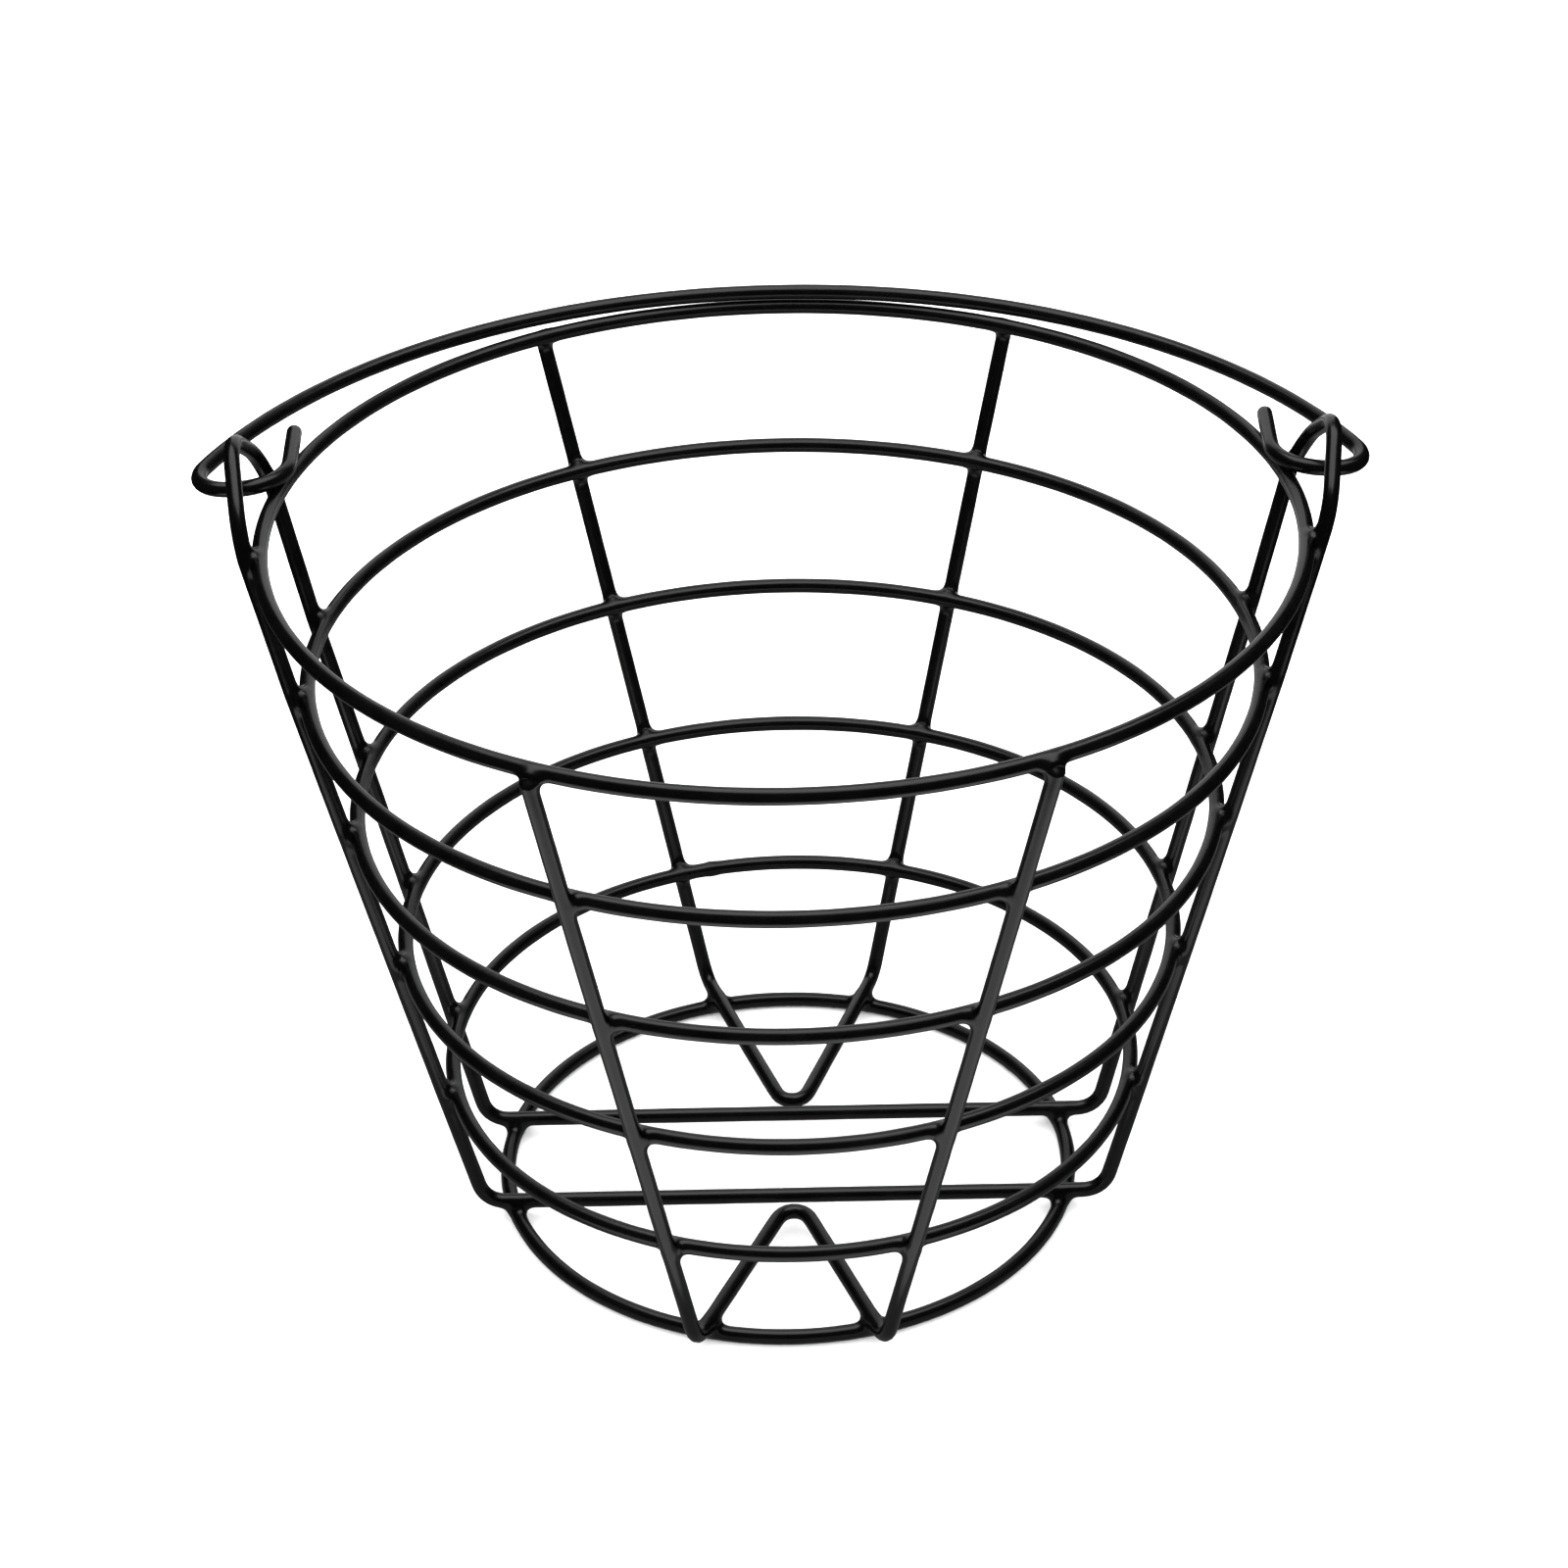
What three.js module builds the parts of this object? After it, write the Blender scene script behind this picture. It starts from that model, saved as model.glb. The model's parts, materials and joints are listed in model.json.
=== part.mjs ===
// Egg collection basket: an open, tapered basket of round wire with a smooth black coating.
// Five hoops and a base ring are welded inside three bent frame wires, and a wire bail
// hangs in two ears that the side frame wire forms above the rim.
// Millimetres. +Z is up, the table is z = 0, an ear stands at each end of X, the front is -Y.
import * as THREE from "three";

// Driving dimensions
const wireDiameter = 4.7; // 4.0 mm steel wire with its coating
const touchGap = 0.3; // left between wires that touch
const rimRadius = 150; // all radii and heights are of the wire's centreline
const taper = 0.2465; // growth of the hoops' radius per millimetre of height
const baseRingRadius = 88.5;
const hoopHeights = {
  // above the base ring
  lower_hoop: 44,
  lower_middle_hoop: 91,
  upper_middle_hoop: 136.5,
  upper_hoop: 182,
  rim_hoop: 226.5,
};

const ribHalfGap = {
  // from the YZ plane
  front: { floor: 28.3, rim: 68.4 },
  back: { floor: 28, rim: 73.5 },
};
const ribTopRise = -0.6; // front and back ribs end just below the rim's centreline
const ribFootBend = 6; // bend radius where a front or back rib turns onto the floor
const veeCorner = { front: 24, back: 15.2 }; // where a floor V's straight legs would meet
const veeBend = 5; // bend radius of the V's tip

const sideMiddle = { floor: -3, rim: 7.5 }; // the side frame wire leans back: y of its middle
const sideHalfGap = { floor: 21.5, rim: 24 }; // side ribs and floor bars, from their middle
const sideFootBend = 8; // bend radius where a side rib turns into a floor bar
const earShoulder = { x: 153.4, halfGap: 23.7, rise: 9.8, bend: 14 }; // rise is above the rim
const earPeak = { x: 158, rise: 27, bend: 12 };

const hingeY = 18; // the hooks lie towards the back of the ears
const handleReach = 130.7; // from the hinge axis to the middle of the arch
const handleArchRadius = 180.4;
const hookStart = 12; // the arch ends and the hook begins this far from the hinge axis
const hookOuter = { x: 170.4, bend: 8.5 };
const hookInner = { x: 143.6, bend: 15.5 };
const hookTip = { x: 144.6, reach: 38.5 };

// Resolution
const wireSides = 12;
const ringSegments = 44;
const bendStep = THREE.MathUtils.degToRad(19); // largest turn between two stations of a sweep
const archSteps = 24;

// Derived dimensions
const wireRadius = wireDiameter / 2;
const touchDistance = wireDiameter + touchGap; // between the centrelines of touching wires
const baseZ = wireRadius;
const rimZ = baseZ + hoopHeights.rim_hoop;
const floorWireZ = baseZ + touchDistance; // floor bars and V legs lie on the base ring
const hingeZ = rimZ + touchDistance; // the hooks lie on the rim
const ribOffset = touchDistance * Math.hypot(1, taper); // ribs lean with the hoops

const hoopRadius = (z) => rimRadius - taper * (rimZ - z);
const mix = (gap, z) =>
  THREE.MathUtils.mapLinear(z, floorWireZ, rimZ, gap.floor, gap.rim);

// The wire's section, a polygon whose flats are one wire diameter apart, with a flat below.
function sectionPoints() {
  const cornerRadius = wireRadius / Math.cos(Math.PI / wireSides);
  const points = [];
  for (let i = 0; i < wireSides; i++) {
    const angle = ((i + 0.5) / wireSides) * 2 * Math.PI;
    points.push(
      new THREE.Vector2(Math.cos(angle), Math.sin(angle)).multiplyScalar(cornerRadius),
    );
  }
  return points;
}

const section = new THREE.Shape(sectionPoints());

// A closed ring of wire, level, with its centreline at the given radius and height.
function wireRing(radius, z) {
  const profile = sectionPoints().map((p) => p.add(new THREE.Vector2(radius, 0)));
  profile.push(profile[0].clone());
  const ring = new THREE.LatheGeometry(profile, ringSegments);
  ring.rotateX(Math.PI / 2);
  ring.translate(0, 0, z);
  return ring;
}

// A bent wire's centreline as a curve through stations. Every step of a sweep lands on one
// station, so straight stretches take one step and bends take as many as they need.
class WirePath extends THREE.Curve {
  constructor(stations) {
    super();
    this.stations = stations;
    this.steps = stations.length - 1;
  }

  getUtoTmapping(u) {
    return u;
  }

  getPoint(t, target = new THREE.Vector3()) {
    const along = t * this.steps;
    const i = Math.min(Math.floor(along + 1e-6), this.steps - 1);
    return target.lerpVectors(this.stations[i], this.stations[i + 1], along - i);
  }

  // The tangent halves the angle between the stretches before and after the station.
  getTangent(t, target = new THREE.Vector3()) {
    const i = Math.round(t * this.steps);
    const here = this.stations[i];
    const closed = this.stations[0].distanceTo(this.stations[this.steps]) < 1e-6;
    const before = this.stations[i - 1] ?? (closed ? this.stations[this.steps - 1] : null);
    const after = this.stations[i + 1] ?? (closed ? this.stations[1] : null);
    target.set(0, 0, 0);
    if (before) target.add(here.clone().sub(before).normalize());
    if (after) target.add(after.clone().sub(here).normalize());
    return target.normalize();
  }
}

// A corner of a bent wire: the point where its straight stretches meet, and its bend radius.
const corner = (x, y, z, bend = 0) => ({ point: new THREE.Vector3(x, y, z), bend });

// Turns corners into stations, with an arc of stations at every corner that has a bend.
function bendWire(corners) {
  const stations = [corners[0].point];
  for (let i = 1; i < corners.length - 1; i++) {
    const { point, bend } = corners[i];
    if (!bend) {
      stations.push(point);
      continue;
    }
    const into = point.clone().sub(corners[i - 1].point).normalize();
    const out = corners[i + 1].point.clone().sub(point).normalize();
    const turn = into.angleTo(out);
    const start = point.clone().addScaledVector(into, -bend * Math.tan(turn / 2));
    const inward = out.clone().addScaledVector(into, -into.dot(out)).normalize();
    const centre = start.clone().addScaledVector(inward, bend);
    const steps = Math.ceil(turn / bendStep);
    for (let k = 0; k <= steps; k++) {
      const angle = (k / steps) * turn;
      stations.push(
        centre
          .clone()
          .addScaledVector(inward, -bend * Math.cos(angle))
          .addScaledVector(into, bend * Math.sin(angle)),
      );
    }
  }
  stations.push(corners[corners.length - 1].point);
  return new WirePath(stations);
}

// Sweeps the wire's section along a path. A closed path keeps its sides and loses its two
// end faces, because its last section lies on its first.
function sweepWire(path, closed = false) {
  const swept = new THREE.ExtrudeGeometry(section, { steps: path.steps, extrudePath: path });
  if (!closed) return swept;
  const sides = swept.groups.find((group) => group.materialIndex === 1);
  const position = swept.getAttribute("position");
  const size = position.itemSize;
  const kept = position.array.slice(sides.start * size, (sides.start + sides.count) * size);
  const loop = new THREE.BufferGeometry();
  loop.setAttribute("position", new THREE.BufferAttribute(kept, size));
  loop.computeVertexNormals();
  return loop;
}

const hoopZs = Object.values(hoopHeights).map((height) => baseZ + height);

// A front or back rib, from the floor up to the rim: it touches every hoop from outside.
function frontRib(side, facing) {
  const halfGap = facing < 0 ? ribHalfGap.front : ribHalfGap.back;
  const at = (z, bend = 0) => {
    const x = mix(halfGap, z);
    const y = Math.sqrt((hoopRadius(z) + ribOffset) ** 2 - x * x);
    return corner(side * x, facing * y, z, bend);
  };
  const bodyHoops = hoopZs.filter((z) => z < rimZ);
  return [at(floorWireZ, ribFootBend), ...bodyHoops.map((z) => at(z)), at(rimZ + ribTopRise)];
}

// The front (facing = -1) or back (facing = 1) frame wire: a rib, a V on the floor, a rib.
function frameWire(facing) {
  const veeTip = corner(0, facing < 0 ? -veeCorner.front : veeCorner.back, floorWireZ, veeBend);
  return bendWire([...frontRib(-1, facing).reverse(), veeTip, ...frontRib(1, facing)]);
}

// A side rib and its half of the ear, from the floor bar up to the ear's shoulder.
function sideRib(side, facing) {
  const at = (z, bend = 0) => {
    const y = mix(sideMiddle, z) + facing * mix(sideHalfGap, z);
    const x = Math.sqrt((hoopRadius(z) + ribOffset) ** 2 - y * y);
    return corner(side * x, y, z, bend);
  };
  const { x, halfGap, rise, bend } = earShoulder;
  const shoulder = corner(side * x, sideMiddle.rim + facing * halfGap, rimZ + rise, bend);
  return [at(floorWireZ, sideFootBend), ...hoopZs.map((z) => at(z)), shoulder];
}

// The side frame wire is one closed loop: floor bar, rib, ear, rib, floor bar, rib, ear, rib.
function sideFrameWire() {
  const seam = corner(0, sideMiddle.floor - sideHalfGap.floor, floorWireZ);
  const peak = (side) =>
    corner(side * earPeak.x, sideMiddle.rim, rimZ + earPeak.rise, earPeak.bend);
  const upAndOver = (side, facing) => [
    ...sideRib(side, facing),
    peak(side),
    ...sideRib(side, -facing).reverse(),
  ];
  return bendWire([seam, ...upAndOver(1, -1), ...upAndOver(-1, 1), seam]);
}

// The bail lies in one plane. It is folded back: hinge axis along X, arch towards +Y.
function handleWire() {
  const at = (x, reach, bend = 0) => corner(x, hingeY + reach, hingeZ, bend);
  const archCentre = handleReach - handleArchRadius;
  const archHalfAngle = Math.acos((hookStart - archCentre) / handleArchRadius);
  const arch = [];
  for (let i = 0; i <= archSteps; i++) {
    const angle = THREE.MathUtils.lerp(-archHalfAngle, archHalfAngle, i / archSteps);
    const reach = archCentre + handleArchRadius * Math.cos(angle);
    arch.push(at(handleArchRadius * Math.sin(angle), reach));
  }
  const hook = (side) => [
    at(side * hookOuter.x, 0, hookOuter.bend),
    at(side * hookInner.x, 0, hookInner.bend),
    at(side * hookTip.x, hookTip.reach),
  ];
  return bendWire([...hook(-1).reverse(), ...arch, ...hook(1)]);
}

function coatedWire(name, geometry) {
  const coating = new THREE.MeshStandardMaterial({
    color: 0x101011,
    roughness: 0.28,
    metalness: 0,
  });
  const mesh = new THREE.Mesh(geometry, coating);
  mesh.name = name;
  return mesh;
}

const hoops = new THREE.Group();
hoops.add(coatedWire("base_ring", wireRing(baseRingRadius, baseZ)));
for (const [name, height] of Object.entries(hoopHeights)) {
  const z = baseZ + height;
  hoops.add(coatedWire(name, wireRing(hoopRadius(z), z)));
}

const frame = new THREE.Group();
frame.add(coatedWire("front_frame_wire", sweepWire(frameWire(-1))));
frame.add(coatedWire("back_frame_wire", sweepWire(frameWire(1))));
frame.add(coatedWire("side_frame_wire", sweepWire(sideFrameWire(), true)));

const basket = new THREE.Group();
basket.add(hoops, frame, coatedWire("carry_handle", sweepWire(handleWire())));

export default basket;
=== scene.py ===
import json
import math

import bpy
import numpy as np
from mathutils import Matrix, Vector


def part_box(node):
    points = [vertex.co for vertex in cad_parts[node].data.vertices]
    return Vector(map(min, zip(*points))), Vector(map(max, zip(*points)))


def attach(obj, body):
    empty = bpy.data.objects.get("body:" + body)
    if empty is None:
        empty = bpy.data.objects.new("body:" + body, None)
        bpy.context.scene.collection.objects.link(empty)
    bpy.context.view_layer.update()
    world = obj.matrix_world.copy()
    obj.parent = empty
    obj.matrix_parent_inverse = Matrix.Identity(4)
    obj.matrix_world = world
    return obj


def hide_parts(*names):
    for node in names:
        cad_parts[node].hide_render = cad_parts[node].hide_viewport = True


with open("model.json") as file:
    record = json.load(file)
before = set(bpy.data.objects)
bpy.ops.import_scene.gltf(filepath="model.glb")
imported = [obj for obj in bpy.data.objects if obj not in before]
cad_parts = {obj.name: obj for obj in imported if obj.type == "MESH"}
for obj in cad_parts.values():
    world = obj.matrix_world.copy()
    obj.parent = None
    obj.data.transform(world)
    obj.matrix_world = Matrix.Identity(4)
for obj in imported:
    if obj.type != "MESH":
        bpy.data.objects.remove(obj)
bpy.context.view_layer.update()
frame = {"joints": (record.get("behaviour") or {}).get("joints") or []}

MM = 0.001

# --- the wire and its welds ----------------------------------------------------------------
WIRE_RADIUS = 2.35 * MM
CAD_GAP = 0.3 * MM  # the CAD leaves this between wires that touch
WELD_DISTANCE = 3.9 * MM  # between the centrelines of two wires pressed together by the weld
FILLET = 3.9 * MM  # how far the coating's fillet reaches from the line where two wires meet
SIDES = 28
LINE_STEP = 0.5 * MM
COARSE = 1.7 * MM  # station spacing along a wire
FINE = 0.36 * MM  # station spacing near a weld
FINE_REACH = 6.0 * MM
DOME_STEPS = 6
DOME_HEIGHT = 0.82  # of the wire's radius, at a coated end
RIB_DOME = 0.5  # the same at a rib's welded end
DOME_TIP = 0.985  # a dome's last row stops just short of its pole
WIRE_EASE = 8  # smoothing passes over a centreline
FRAME_EASE = 26  # the same for the front and back frame wires, whose V tips are tighter
RING_STEPS = 240
FAR_AWAY = 1.0
COARSEN = 0.5  # how fast the station spacing grows away from a weld
NOT_ALONG_WIRE = [0.31, 0.17, 0.93]

# --- the coating's thickness along a wire ---------------------------------------------------
WAVE_PERIODS = (90 * MM, 37 * MM, 16 * MM)
WAVE_HEIGHT = 0.012 * MM
BUTT_WELD_SWELL = 0.32 * MM
BUTT_WELD_REACH = 1.5 * MM
BUTT_WELD_TURN = math.radians(104)  # the lower hoop's visible butt weld, from +X

# --- the fillet at a weld ---------------------------------------------------------------------
WELD_SLACK = 0.6 * MM  # wires this much further apart than WELD_DISTANCE are still welded
WELD_SPACING = 9 * MM  # two wires have one weld within this distance
SKIN_REACH = 11 * MM
LINE_REACH = 16 * MM
DRAW_STEPS = 10
DRAW_SHARE = 0.8
RISE_LIMIT = 0.42 * FILLET
SINK = 0.5 * FILLET  # skin buried deeper than this in the other wire isn't drawn up

# --- the bent wires ------------------------------------------------------------------------
# The part's own dimensions, except that the rib tops, V tips and ears differ by up to 1.5 mm.
TAPER = 0.2465
FRONT_RIB_HALF_GAP = {"floor": 28.3 * MM, "rim": 68.4 * MM}
BACK_RIB_HALF_GAP = {"floor": 28 * MM, "rim": 73.5 * MM}
RIB_TOP_RISE = -2.1 * MM  # from the rim's centreline; the coated end is a low dome above this
RIB_FOOT_BEND = 6 * MM
VEE_CORNER = {"front": 23.7 * MM, "back": 14.9 * MM}
VEE_BEND = 5 * MM
SIDE_MIDDLE = {"floor": -3 * MM, "rim": 7.5 * MM}
SIDE_HALF_GAP = {"floor": 21.5 * MM, "rim": 24 * MM}
SIDE_FOOT_BEND = 8 * MM
EAR_SHOULDER = {"x": 154.1 * MM, "half_gap": 23.7 * MM, "rise": 9.8 * MM, "bend": 14 * MM}
EAR_PEAK = {"x": 157.6 * MM, "rise": 26.7 * MM, "bend": 12 * MM}
HANDLE_ARCH_RADIUS = 180.4 * MM
HOOK_START = 12 * MM
HOOK_OUTER = {"x": 170.4 * MM, "bend": 8.5 * MM}
HOOK_INNER = {"x": 143.6 * MM, "bend": 15.5 * MM}
HOOK_TIP = {"x": 144.6 * MM, "reach": 38.5 * MM}
BEND_STEP = math.radians(6)
ARCH_STEPS = 60

# --- how the welded basket sits off its true shape -------------------------------------------
FRONT_SKEW = {"floor": -1.85 * MM, "rim": 1.5 * MM}  # the front ribs' middle, along X
BACK_SKEW = {"floor": 0.0, "rim": -1.1 * MM}
BASE_RING_CENTRE = (-1.8 * MM, 0.0)
RIM_CENTRE = (0.3 * MM, -0.6 * MM)
RIM_SQUEEZE = 0.8 * MM  # the rim's radius is smaller by this
RIM_REACH = MM * 5  # ribs follow the rim's own circle within this height of it
EAR_SHIFT = 0.8 * MM  # both ears, along X

HOOPS = ["lower_hoop", "lower_middle_hoop", "upper_middle_hoop", "upper_hoop", "rim_hoop"]


def ring_size(node):
    """A ring's centreline radius and height, from its CAD box."""
    low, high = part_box(node)
    return (high.x - low.x) / 2 - WIRE_RADIUS, (high.z + low.z) / 2


rings = {node: ring_size(node) for node in ["base_ring"] + HOOPS}
rim_radius, rim_z = rings["rim_hoop"]
base_z = rings["base_ring"][1]
hoop_zs = [rings[node][1] for node in HOOPS]
floor_wire_z = base_z + WELD_DISTANCE
cad_floor_wire_z = base_z + 2 * WIRE_RADIUS + CAD_GAP
rib_offset = WELD_DISTANCE * math.hypot(1, TAPER)
hinge = Vector(frame["joints"][0]["pos_m"])
arch_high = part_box("carry_handle")[1]
handle_reach = arch_high.y - WIRE_RADIUS - hinge.y


def hoop_at(z):
    """Radius and centre of the hoop at a height, or of the taper between two hoops."""
    radius = rim_radius - TAPER * (rim_z - z)
    if z > rim_z - RIM_REACH:
        return radius - RIM_SQUEEZE, RIM_CENTRE
    return radius, (0.0, 0.0)


def mix(gap, z):
    share = (z - cad_floor_wire_z) / (rim_z - cad_floor_wire_z)
    return gap["floor"] + share * (gap["rim"] - gap["floor"])


# --- centrelines ---------------------------------------------------------------------------
def corner(x, y, z, bend=0.0):
    return (Vector((x, y, z)), bend)


def bend_wire(corners):
    """Turns corners into points, with an arc of points at every corner that has a bend."""
    points = [corners[0][0]]
    for i in range(1, len(corners) - 1):
        point, bend = corners[i]
        if not bend:
            points.append(point)
            continue
        into = (point - corners[i - 1][0]).normalized()
        out = (corners[i + 1][0] - point).normalized()
        turn = into.angle(out)
        start = point - into * (bend * math.tan(turn / 2))
        inward = (out - into * into.dot(out)).normalized()
        centre = start + inward * bend
        steps = max(2, math.ceil(turn / BEND_STEP))
        for k in range(steps + 1):
            angle = k / steps * turn
            points.append(centre - inward * (bend * math.cos(angle)) + into * (bend * math.sin(angle)))
    points.append(corners[-1][0])
    return points


def front_rib(side, facing):
    half_gap = FRONT_RIB_HALF_GAP if facing < 0 else BACK_RIB_HALF_GAP
    skew = FRONT_SKEW if facing < 0 else BACK_SKEW

    def at(z, bend=0.0):
        radius, (middle_x, middle_y) = hoop_at(z)
        x = side * mix(half_gap, z) + mix(skew, z)
        y = middle_y + facing * math.sqrt((radius + rib_offset) ** 2 - (x - middle_x) ** 2)
        return corner(x, y, z, bend)

    body = [at(z) for z in hoop_zs if z < rim_z - MM]
    return [at(floor_wire_z, RIB_FOOT_BEND), *body, at(rim_z + RIB_TOP_RISE)]


def frame_wire(facing):
    tip_y = -VEE_CORNER["front"] if facing < 0 else VEE_CORNER["back"]
    tip = corner(0, tip_y, floor_wire_z, VEE_BEND)
    return bend_wire([*reversed(front_rib(-1, facing)), tip, *front_rib(1, facing)])


def side_rib(side, facing):
    def at(z, bend=0.0):
        radius, (middle_x, middle_y) = hoop_at(z)
        y = mix(SIDE_MIDDLE, z) + facing * mix(SIDE_HALF_GAP, z)
        x = middle_x + side * math.sqrt((radius + rib_offset) ** 2 - (y - middle_y) ** 2)
        return corner(x, y, z, bend)

    shoulder = corner(
        EAR_SHIFT + side * EAR_SHOULDER["x"],
        SIDE_MIDDLE["rim"] + facing * EAR_SHOULDER["half_gap"],
        rim_z + EAR_SHOULDER["rise"],
        EAR_SHOULDER["bend"],
    )
    return [at(floor_wire_z, SIDE_FOOT_BEND), *[at(z) for z in hoop_zs], shoulder]


def side_frame_wire():
    seam = corner(0, SIDE_MIDDLE["floor"] - SIDE_HALF_GAP["floor"], floor_wire_z)

    def up_and_over(side, facing):
        peak = corner(
            EAR_SHIFT + side * EAR_PEAK["x"],
            SIDE_MIDDLE["rim"],
            rim_z + EAR_PEAK["rise"],
            EAR_PEAK["bend"],
        )
        return [*side_rib(side, facing), peak, *reversed(side_rib(side, -facing))]

    return bend_wire([seam, *up_and_over(1, -1), *up_and_over(-1, 1), seam])[:-1]


def handle_wire():
    def at(x, reach, bend=0.0):
        return corner(x, hinge.y + reach, hinge.z, bend)

    arch_centre = handle_reach - HANDLE_ARCH_RADIUS
    half_angle = math.acos((HOOK_START - arch_centre) / HANDLE_ARCH_RADIUS)
    arch = []
    for i in range(ARCH_STEPS + 1):
        angle = -half_angle + 2 * half_angle * i / ARCH_STEPS
        reach = arch_centre + HANDLE_ARCH_RADIUS * math.cos(angle)
        arch.append(at(HANDLE_ARCH_RADIUS * math.sin(angle), reach))

    def hook(side):
        return [
            at(side * HOOK_OUTER["x"], 0, HOOK_OUTER["bend"]),
            at(side * HOOK_INNER["x"], 0, HOOK_INNER["bend"]),
            at(side * HOOK_TIP["x"], HOOK_TIP["reach"] - WIRE_RADIUS * DOME_HEIGHT),
        ]

    return bend_wire([*reversed(hook(-1)), *arch, *hook(1)])


def ring_points(radius, z, middle):
    angles = [2 * math.pi * i / RING_STEPS for i in range(RING_STEPS)]
    return [
        Vector((middle[0] + radius * math.cos(a), middle[1] + radius * math.sin(a), z))
        for a in angles
    ]


# --- stations along a wire -----------------------------------------------------------------
def lengths_along(points, closed):
    looped = np.vstack([points, points[:1]]) if closed else points
    steps = np.linalg.norm(np.diff(looped, axis=0), axis=1)
    return looped, np.concatenate([[0.0], np.cumsum(steps)])


def sample(points, closed, where):
    looped, along = lengths_along(points, closed)
    return np.stack([np.interp(where, along, looped[:, i]) for i in range(3)], axis=1)


def smooth_line(points, closed, passes):
    """Rounds the small kinks where straight stretches meet, without moving open ends."""
    p = points.copy()
    for _ in range(passes):
        before, after = np.roll(p, 1, axis=0), np.roll(p, -1, axis=0)
        eased = p * 0.5 + (before + after) * 0.25
        if not closed:
            eased[0], eased[-1] = p[0], p[-1]
        p = eased
    return p


def along_gap(where, place, total, closed):
    """How far apart two places on a wire are, the short way round a closed one."""
    if closed:
        return np.abs((where - place + total / 2) % total - total / 2)
    return np.abs(where - place)


def stations_at(total, closed, welds):
    """Distances along a wire: coarse, and fine near each weld."""
    where = [0.0]
    while where[-1] < total:
        here = where[-1]
        near = min((along_gap(here, weld, total, closed) for weld in welds), default=FAR_AWAY)
        step = FINE
        if near >= FINE_REACH:
            step = min(COARSE, FINE + (near - FINE_REACH) * COARSEN)
        where.append(here + step)
    where = np.array(where)
    where *= total / where[-1]
    return where[:-1] if closed else where


def frames_along(points, closed):
    """Unit tangents, and two unit normals carried along without twist."""
    if closed:
        tangent = np.roll(points, -1, axis=0) - np.roll(points, 1, axis=0)
    else:
        tangent = np.gradient(points, axis=0)
    tangent /= np.linalg.norm(tangent, axis=1)[:, None]
    normal = np.zeros_like(points)
    first = np.cross(tangent[0], NOT_ALONG_WIRE)
    normal[0] = first / np.linalg.norm(first)
    for i in range(1, len(points)):
        carried = normal[i - 1] - tangent[i] * normal[i - 1].dot(tangent[i])
        normal[i] = carried / np.linalg.norm(carried)
    other = np.cross(tangent, normal)
    if closed:
        last = normal[-1] - tangent[0] * normal[-1].dot(tangent[0])
        twist = math.atan2(last.dot(other[0]), last.dot(normal[0]))
        turn = -twist * np.arange(len(points)) / len(points)
        c, s = np.cos(turn)[:, None], np.sin(turn)[:, None]
        normal, other = normal * c + other * s, other * c - normal * s
    return tangent, normal, other


def thickness(where, total, seed, closed, seams):
    """The coated wire's radius along its length: slow small waves, and a swell at butt welds."""
    rng = np.random.default_rng(seed)
    radius = np.full(len(where), WIRE_RADIUS)
    for period in WAVE_PERIODS:
        turns = max(1, round(total / period))
        phase = rng.uniform(0, 2 * math.pi)
        radius += WAVE_HEIGHT * np.sin(2 * math.pi * turns * where / total + phase)
    for seam in seams:
        gap = along_gap(where, seam, total, closed)
        radius += BUTT_WELD_SWELL * np.exp(-((gap / BUTT_WELD_REACH) ** 2))
    return radius


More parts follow.
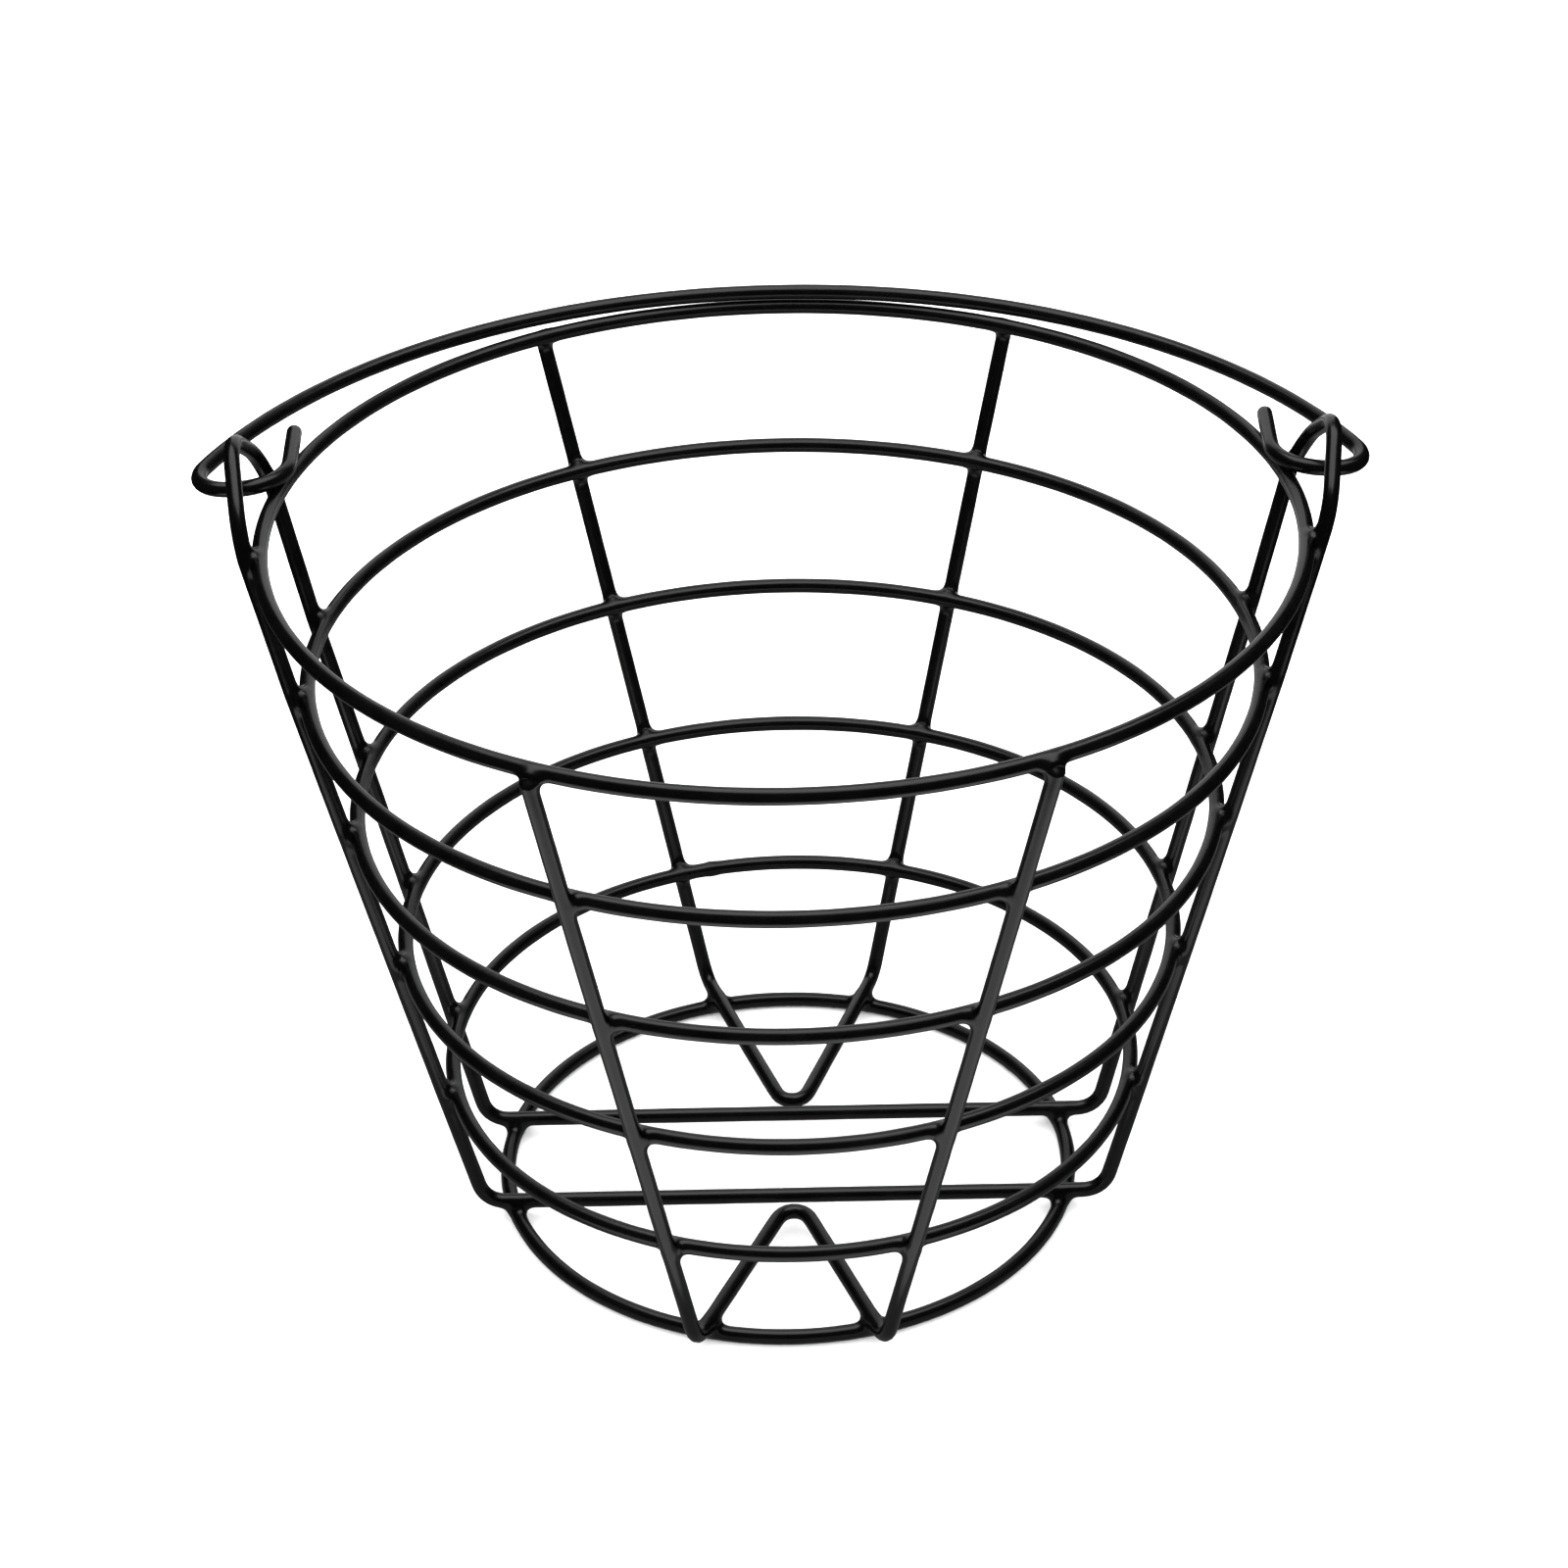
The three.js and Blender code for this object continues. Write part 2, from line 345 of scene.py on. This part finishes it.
class Wire:
    """One coated wire: a centreline with its stations, and the skin round them."""

    def __init__(self, node, body, points, closed, seed, seams=(), dome=DOME_HEIGHT, ease=WIRE_EASE):
        self.node, self.body, self.closed, self.seed, self.dome = node, body, closed, seed, dome
        raw = np.array([list(p) for p in points])
        total = lengths_along(raw, closed)[1][-1]
        even = np.linspace(0, total, int(total / LINE_STEP), endpoint=not closed)
        self.line = smooth_line(sample(raw, closed, even), closed, ease)
        self.total = lengths_along(self.line, closed)[1][-1]
        self.seams = seams
        self.welds = []

    def nearest(self, point):
        """How far along the wire its nearest point lies."""
        along = lengths_along(self.line, self.closed)[1]
        return along[np.argmin(np.linalg.norm(self.line - point, axis=1))]

    def make_skin(self):
        where = stations_at(self.total, self.closed, self.welds)
        self.points = sample(self.line, self.closed, where)
        tangent, normal, other = frames_along(self.points, self.closed)
        seams = [self.nearest(np.array(s)) for s in self.seams]
        radius = thickness(where, self.total, self.seed, self.closed, seams)
        angles = 2 * math.pi * np.arange(SIDES) / SIDES
        c, s = np.cos(angles)[None, :, None], np.sin(angles)[None, :, None]
        out = normal[:, None, :] * c + other[:, None, :] * s
        skin = self.points[:, None, :] + out * radius[:, None, None]
        rows, outs = list(skin), list(out)
        if not self.closed:
            self.add_domes(rows, outs, tangent, out, radius)
        self.rows = len(rows)
        self.verts = np.concatenate(rows)
        self.outs = np.concatenate(outs)

    def add_domes(self, rows, outs, tangent, out, radius):
        for end, way in ((0, -1.0), (-1, 1.0)):
            for k in range(1, DOME_STEPS + 1):
                a = k / DOME_STEPS * math.pi / 2 * (DOME_TIP if k == DOME_STEPS else 1.0)
                centre = self.points[end] + tangent[end] * way * radius[end] * self.dome * math.sin(a)
                row = centre + out[end] * radius[end] * math.cos(a)
                facing = out[end] * math.cos(a) + tangent[end] * way * math.sin(a)
                facing /= np.linalg.norm(facing, axis=1)[:, None]
                if end == 0:
                    rows.insert(0, row)
                    outs.insert(0, facing)
                else:
                    rows.append(row)
                    outs.append(facing)

    def faces(self):
        made = []
        count = self.rows if self.closed else self.rows - 1
        for i in range(count):
            a, b = i * SIDES, ((i + 1) % self.rows) * SIDES
            for j in range(SIDES):
                k = (j + 1) % SIDES
                made.append((a + j, a + k, b + k, b + j))
        if not self.closed:
            made.append(tuple(reversed(range(SIDES))))
            made.append(tuple(range((self.rows - 1) * SIDES, self.rows * SIDES)))
        return made


# --- welds ---------------------------------------------------------------------------------
def distance_to_line(p, line):
    """Distance from each point in p to a run of stations, taken as straight stretches."""
    a, b = line[:-1], line[1:]
    ab = b - a
    t = np.einsum("vsi,si->vs", p[:, None, :] - a[None], ab) / np.einsum("si,si->s", ab, ab)
    t = np.clip(t, 0, 1)
    foot = a[None] + t[:, :, None] * ab[None]
    return np.linalg.norm(p[:, None, :] - foot, axis=2).min(axis=1)


def find_welds(wires):
    """Every place where two wires of the basket lie against each other."""
    found = []
    for i, one in enumerate(wires):
        for other in wires[i + 1 :]:
            first, second = one.line[::2], other.line[::2]
            gap = np.linalg.norm(first[:, None, :] - second[None, :, :], axis=2)
            while gap.min() < WELD_DISTANCE + WELD_SLACK:
                a, b = np.unravel_index(gap.argmin(), gap.shape)
                place = (first[a] + second[b]) / 2
                found.append((one, other, place))
                gap[np.linalg.norm(first - place, axis=1) < WELD_SPACING] = FAR_AWAY
    return found


def smooth_union(a, b, reach):
    """Distance to two bodies joined with a fillet."""
    h = np.clip(reach - np.abs(a - b), 0, None) / reach
    return np.minimum(a, b) - h * h * reach / 4


def draw_up(wire, other, place):
    """Draws the wire's skin up into the fillet it shares with the other wire."""
    near = np.linalg.norm(wire.verts - place, axis=1) < SKIN_REACH
    p, n = wire.verts[near], wire.outs[near]
    run = np.linalg.norm(other.points - place, axis=1) < LINE_REACH
    if other.closed and run[0] and run[-1]:
        shift = int(np.argmin(run))
        local = np.roll(other.points, -shift, axis=0)[np.roll(run, -shift)]
    else:
        local = other.points[run]
    rise = np.zeros(len(p))
    for _ in range(DRAW_STEPS):
        b = distance_to_line(p + n * rise[:, None], local) - WIRE_RADIUS
        rise = np.clip(rise - DRAW_SHARE * smooth_union(rise, b, FILLET), 0, RISE_LIMIT)
    sunk = distance_to_line(p, local) - WIRE_RADIUS
    keep = np.clip((sunk + SINK) / SINK, 0, 1)
    wire.rise[near] = np.maximum(wire.rise[near], rise * keep * keep * (3 - 2 * keep))


# --- materials -----------------------------------------------------------------------------
def coated_black(name, seed):
    """Black dip coating on steel wire: glossy, faintly rippled, with soft changes in gloss."""
    mat = bpy.data.materials.new(name)
    mat.use_nodes = True
    nodes, links = mat.node_tree.nodes, mat.node_tree.links
    shader = nodes["Principled BSDF"]
    shader.inputs["IOR"].default_value = 1.5
    shader.inputs["Metallic"].default_value = 0.0
    where = nodes.new("ShaderNodeTexCoord")
    place = nodes.new("ShaderNodeMapping")
    place.inputs["Location"].default_value = (seed * 0.37, seed * 0.11, seed * 0.23)
    links.new(where.outputs["Object"], place.inputs["Vector"])

    def noise(scale, detail, rough=0.5):
        made = nodes.new("ShaderNodeTexNoise")
        made.inputs["Scale"].default_value = scale
        made.inputs["Detail"].default_value = detail
        made.inputs["Roughness"].default_value = rough
        links.new(place.outputs["Vector"], made.inputs["Vector"])
        return made

    def spread(source, low, high, out_low, out_high):
        made = nodes.new("ShaderNodeMapRange")
        made.inputs["From Min"].default_value = low
        made.inputs["From Max"].default_value = high
        made.inputs["To Min"].default_value = out_low
        made.inputs["To Max"].default_value = out_high
        links.new(source, made.inputs["Value"])
        return made.outputs["Result"]

    tone = nodes.new("ShaderNodeValToRGB")
    tone.color_ramp.elements[0].position = 0.35
    tone.color_ramp.elements[0].color = (0.0005, 0.0005, 0.0006, 1)
    tone.color_ramp.elements[1].position = 0.7
    tone.color_ramp.elements[1].color = (0.0013, 0.0013, 0.0014, 1)
    links.new(noise(70, 3).outputs["Fac"], tone.inputs["Fac"])
    links.new(tone.outputs["Color"], shader.inputs["Base Color"])
    gloss = spread(noise(45, 4, 0.6).outputs["Fac"], 0.3, 0.7, 0.21, 0.29)
    links.new(gloss, shader.inputs["Roughness"])

    ripple = nodes.new("ShaderNodeBump")
    ripple.inputs["Distance"].default_value = 0.05 * MM
    ripple.inputs["Strength"].default_value = 0.5
    links.new(noise(330, 2).outputs["Fac"], ripple.inputs["Height"])
    peel = nodes.new("ShaderNodeBump")
    peel.inputs["Distance"].default_value = 0.012 * MM
    peel.inputs["Strength"].default_value = 0.5
    links.new(noise(1500, 2).outputs["Fac"], peel.inputs["Height"])
    links.new(ripple.outputs["Normal"], peel.inputs["Normal"])
    links.new(peel.outputs["Normal"], shader.inputs["Normal"])
    return mat


# --- the wires -----------------------------------------------------------------------------
wires = []
for seed, (node, (radius, z)) in enumerate(rings.items()):
    middle, seams = (0.0, 0.0), []
    if node == "lower_hoop":
        seams = [(radius * math.cos(BUTT_WELD_TURN), radius * math.sin(BUTT_WELD_TURN), z)]
    elif node == "base_ring":
        middle = BASE_RING_CENTRE
    elif node == "rim_hoop":
        radius, middle = hoop_at(z)
    wires.append(Wire(node, "basket", ring_points(radius, z, middle), True, seed, seams))
for node, facing, seed in (("front_frame_wire", -1, 11), ("back_frame_wire", 1, 12)):
    line = frame_wire(facing)
    wires.append(Wire(node, "basket", line, False, seed, dome=RIB_DOME, ease=FRAME_EASE))
wires.append(Wire("side_frame_wire", "basket", side_frame_wire(), True, 13))
handle = Wire("carry_handle", "handle", handle_wire(), False, 14)

welds = find_welds(wires)
for one, other, place in welds:
    one.welds.append(one.nearest(place))
    other.welds.append(other.nearest(place))
for wire in [*wires, handle]:
    wire.make_skin()
    wire.rise = np.zeros(len(wire.verts))
for one, other, place in welds:
    draw_up(one, other, place)
    draw_up(other, one, place)

coating = coated_black("black_coating", 1)
handle_coating = coated_black("black_handle_coating", 5)
for wire in [*wires, handle]:
    verts = wire.verts + wire.outs * wire.rise[:, None]
    mesh = bpy.data.meshes.new(wire.node + "_coated")
    mesh.from_pydata(verts.tolist(), [], wire.faces())
    mesh.validate()
    mesh.update()
    mesh.shade_smooth()
    piece = bpy.data.objects.new(wire.node + "_coated", mesh)
    bpy.context.scene.collection.objects.link(piece)
    mesh.materials.append(handle_coating if wire is handle else coating)
    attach(piece, wire.body)
    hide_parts(wire.node)


# --- studio --------------------------------------------------------------------------------
def plain(name, colour, glow=0.0):
    mat = bpy.data.materials.new(name)
    mat.use_nodes = True
    shader = mat.node_tree.nodes["Principled BSDF"]
    shader.inputs["Base Color"].default_value = (*colour, 1)
    shader.inputs["Roughness"].default_value = 0.9
    shader.inputs["Specular IOR Level"].default_value = 0.0
    if glow:
        shader.inputs["Emission Color"].default_value = (1, 1, 1, 1)
        shader.inputs["Emission Strength"].default_value = glow
    return mat


def panel(name, corners, material):
    mesh = bpy.data.meshes.new(name)
    mesh.from_pydata(corners, [], [tuple(range(len(corners)))])
    mesh.update()
    made = bpy.data.objects.new(name, mesh)
    mesh.materials.append(material)
    bpy.context.scene.collection.objects.link(made)
    return made


def level(name, left, right, front, back, material):
    corners = [(left, front, 0), (right, front, 0), (right, back, 0), (left, back, 0)]
    return panel(name, corners, material)


def seen_only_in_gloss(card):
    """Leaves a card in the coating's reflections, and nowhere else."""
    card.visible_camera = False
    card.visible_diffuse = False
    card.visible_shadow = False


FAR = 30.0
floor = level("studio_floor", -FAR, FAR, -FAR, FAR, plain("floor_white", (0.9, 0.9, 0.9)))
floor.visible_glossy = False

CARD_LEFT, CARD_RIGHT = -0.30, 0.34
CARD_FRONT, CARD_TURN, CARD_BACK = -0.34, -0.12, 0.55
CARD_FOOT, CARD_TOP, CARD_LEAN = 0.02, 0.9, 0.25
BLACK = (0, 0, 0)
dim, pale_glow, soft = (
    plain("card_dim", BLACK, 0.2),
    plain("card_pale", BLACK, 1.1),
    plain("card_soft", BLACK, 0.8),
)
under = level("floor_card", CARD_LEFT, CARD_RIGHT, CARD_TURN, CARD_BACK, dim)
before = level("front_card", CARD_LEFT, CARD_RIGHT, CARD_FRONT, CARD_TURN, pale_glow)
behind = panel(
    "back_card",
    [
        (CARD_LEFT, CARD_BACK, CARD_FOOT),
        (CARD_RIGHT, CARD_BACK, CARD_FOOT),
        (CARD_RIGHT, CARD_BACK + CARD_LEAN, CARD_TOP),
        (CARD_LEFT, CARD_BACK + CARD_LEAN, CARD_TOP),
    ],
    soft,
)
for card in (under, before, behind):
    seen_only_in_gloss(card)


def soft_light(name, location, target, size, power):
    light = bpy.data.lights.new(name, "AREA")
    light.shape = "RECTANGLE"
    light.size, light.size_y = size
    light.energy = power
    made = bpy.data.objects.new(name, light)
    made.location = location
    direction = Vector(target) - Vector(location)
    made.rotation_euler = direction.to_track_quat("-Z", "Y").to_euler()
    bpy.context.scene.collection.objects.link(made)
    made.visible_diffuse = False
    made.visible_camera = False


soft_light("overhead", (0.05, 0.12, 1.25), (0, 0, 0.1), (1.3, 1.0), 8)

GLOSSY_WORLD = 0.015  # what the coating reflects beyond the cards
PALE_WORLD = 2.7
world = bpy.data.worlds.new("studio")
bpy.context.scene.world = world
world.use_nodes = True
wn, wl = world.node_tree.nodes, world.node_tree.links
background = wn["Background"]
background.inputs["Color"].default_value = (1, 1, 1, 1)
background.inputs["Strength"].default_value = GLOSSY_WORLD
pale = wn.new("ShaderNodeBackground")
pale.inputs["Color"].default_value = (1, 1, 1, 1)
pale.inputs["Strength"].default_value = PALE_WORLD
ray = wn.new("ShaderNodeLightPath")
blend = wn.new("ShaderNodeMixShader")
wl.new(ray.outputs["Is Glossy Ray"], blend.inputs["Fac"])
wl.new(pale.outputs["Background"], blend.inputs[1])
wl.new(background.outputs["Background"], blend.inputs[2])
wl.new(blend.outputs["Shader"], wn["World Output"].inputs["Surface"])

# --- camera --------------------------------------------------------------------------------
CAMERA_AIM = Vector((-0.75 * MM, 0, 141.1 * MM))
CAMERA_DISTANCE = 1.1775
CAMERA_ELEVATION = math.radians(31.42)
CAMERA_ROLL = math.radians(-1.12)
SENSOR_WIDTH = 36
FOCAL_LENGTH = 90.585
forward = Vector((0, math.cos(CAMERA_ELEVATION), -math.sin(CAMERA_ELEVATION)))
level_right = Vector((1, 0, 0))
level_up = level_right.cross(forward)
right = level_right * math.cos(CAMERA_ROLL) + level_up * math.sin(CAMERA_ROLL)
up = level_up * math.cos(CAMERA_ROLL) - level_right * math.sin(CAMERA_ROLL)
lens = bpy.data.cameras.new("camera")
lens.sensor_width = SENSOR_WIDTH
lens.lens = FOCAL_LENGTH
lens.clip_start, lens.clip_end = 0.01, 200
camera = bpy.data.objects.new("camera", lens)
bpy.context.scene.collection.objects.link(camera)
eye = CAMERA_AIM - forward * CAMERA_DISTANCE
axes = Matrix((right, up, -forward)).transposed().to_4x4()
camera.matrix_world = Matrix.Translation(eye) @ axes
bpy.context.scene.camera = camera

view = bpy.context.scene.view_settings
view.view_transform = "Standard"
view.look = "None"
